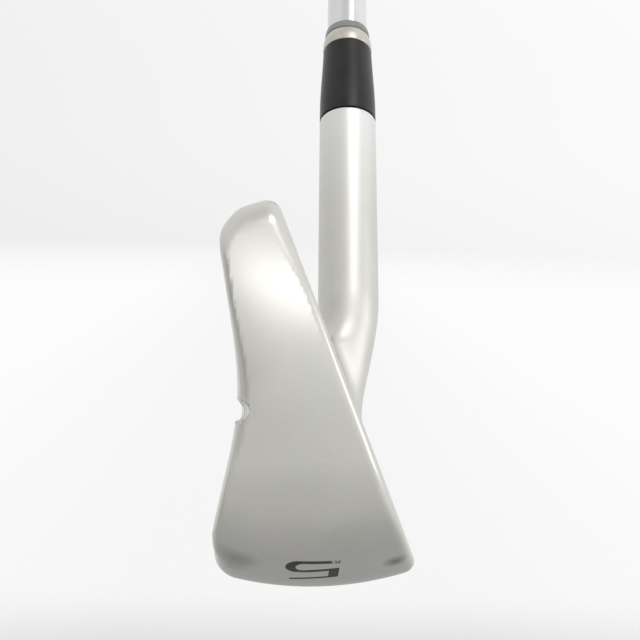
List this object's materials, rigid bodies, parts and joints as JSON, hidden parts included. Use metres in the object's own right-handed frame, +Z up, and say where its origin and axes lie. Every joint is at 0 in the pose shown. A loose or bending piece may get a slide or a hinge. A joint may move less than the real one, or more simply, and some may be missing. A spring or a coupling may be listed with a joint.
{
  "type": "iron golf club",
  "caption": "Right-handed mid iron: forged pocket-cavity head with hosel and score lines, ferrule with trim rings, stepped steel shaft and tapered rubber grip.",
  "frame": {"origin": "centre of the strike face, on the land between two score lines; the ground the sole would rest on is 21.6 mm below it", "axes": "+Z up, +X towards the toe, +Y towards the target, with the club soled at address; the shaft rises towards -X at 61 degrees and the face normal leans up 22.6 degrees from +Y"},
  "size_m": [0.5554, 0.0354, 0.8496],
  "materials": {
    "head_chrome": "satin",
    "number_enamel": "matt black paint, slightly worn",
    "badge_plate": "dark anodised with a fine brushed grain",
    "foam_pad": "matt foam tape",
    "ferrule_black": "soft gloss black",
    "ferrule_silver": "satin, slightly warm",
    "ferrule_dark": "soft gloss dark grey",
    "shaft_steel": "polished",
    "brass_plug": "turned",
    "epoxy": "cured adhesive",
    "band_film": "printed film, no text",
    "tape_paper": "masking tape",
    "grip_rubber": "matt with a moulded pattern",
    "cap_rubber": "matt, harder rubber"
  },
  "bodies": {
    "root": {"head_body": "head_chrome", "sole_number_fill": "number_enamel", "cavity_badge": "badge_plate", "badge_adhesive": "foam_pad", "ferrule_collar": "ferrule_black", "ferrule_trim_ring": "ferrule_silver", "ferrule_top_ring": "ferrule_dark", "shaft": "shaft_steel", "tip_weight": "brass_plug", "hosel_epoxy": "epoxy", "shaft_band": "band_film", "grip_tape": "tape_paper", "grip_sleeve": "grip_rubber", "grip_cap": "cap_rubber"}
  },
  "joints": []
}
